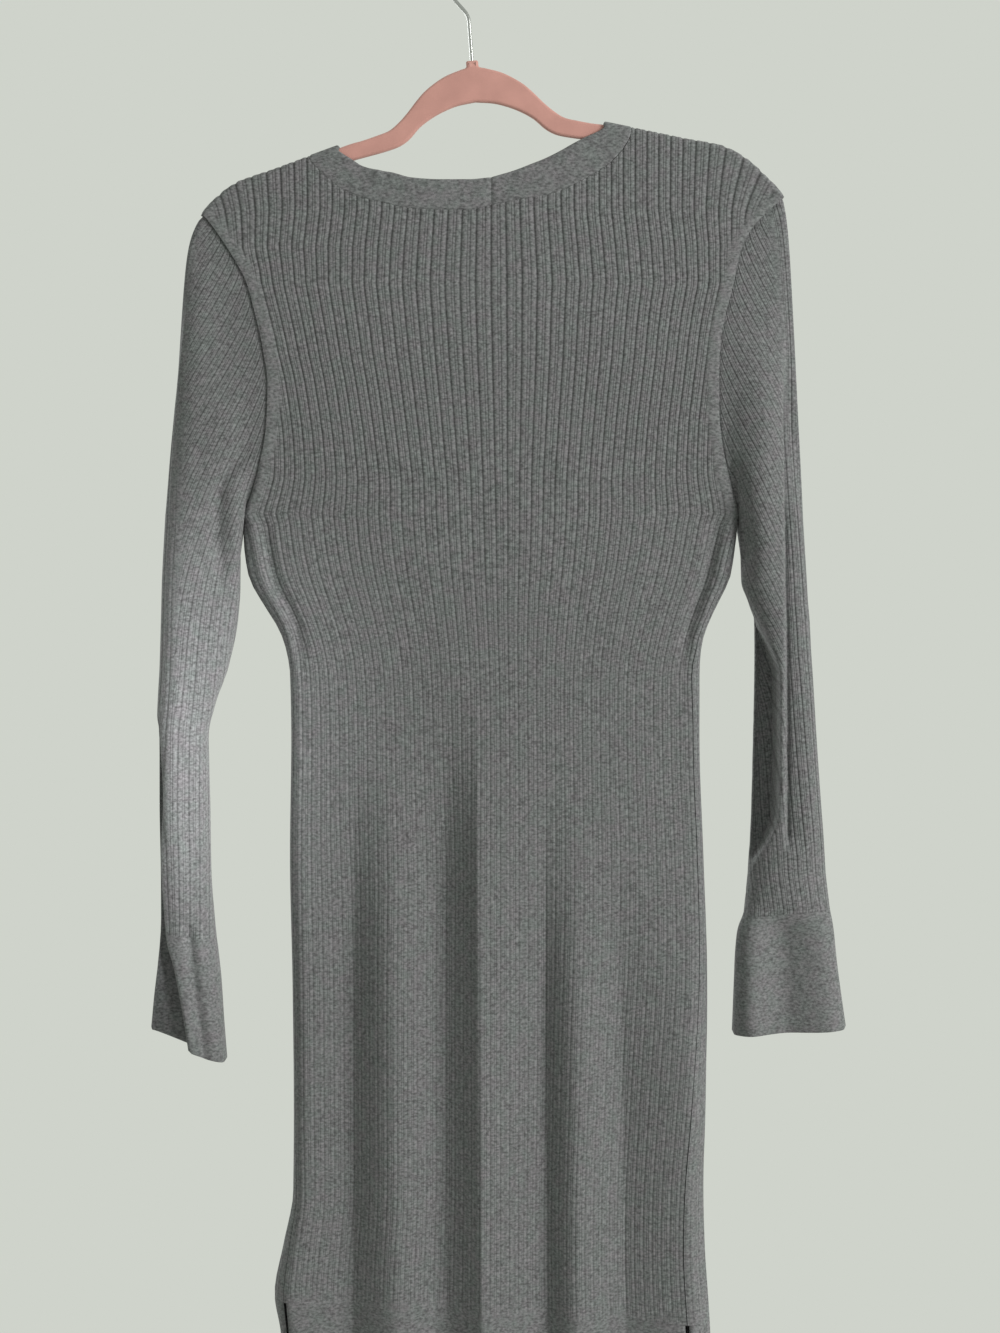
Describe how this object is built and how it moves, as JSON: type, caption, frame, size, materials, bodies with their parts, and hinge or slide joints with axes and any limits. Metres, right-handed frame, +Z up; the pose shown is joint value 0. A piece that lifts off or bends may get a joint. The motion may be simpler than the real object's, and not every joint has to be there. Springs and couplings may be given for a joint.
{
  "type": "long-sleeved rib-knit sweater dress on a flocked hanger",
  "caption": "Ribbed knit midi dress with long cuffed sleeves and a V neckline, hung by the shoulders on a slim velvet-flocked hanger with a wire hook.",
  "frame": {"origin": "the point inside the top of the hook's curl that rests on a rail", "axes": "+X along the hanger towards the wearer's right arm, +Y towards the front of the dress, with the V neck, so -Y is the back, and +Z up"},
  "size_m": [0.5347, 0.0541, 1.1517],
  "materials": {
    "rib_knit": "matt grey heather rib knit",
    "plain_knit": "matt grey heather plain knit",
    "flock": "dusty pink velvet flocking on moulded plastic",
    "hook_steel": "bright drawn wire"
  },
  "bodies": {
    "root": {"back_panel": "rib_knit", "front_panel": "rib_knit", "sleeve_left": "rib_knit", "sleeve_right": "rib_knit", "cuff_left": "plain_knit", "cuff_right": "plain_knit", "neckband_left": "plain_knit", "neckband_right": "plain_knit", "hem_band_back": "plain_knit", "hem_band_front": "plain_knit", "hanger_body": "flock", "hanger_hook": "hook_steel"}
  },
  "joints": []
}
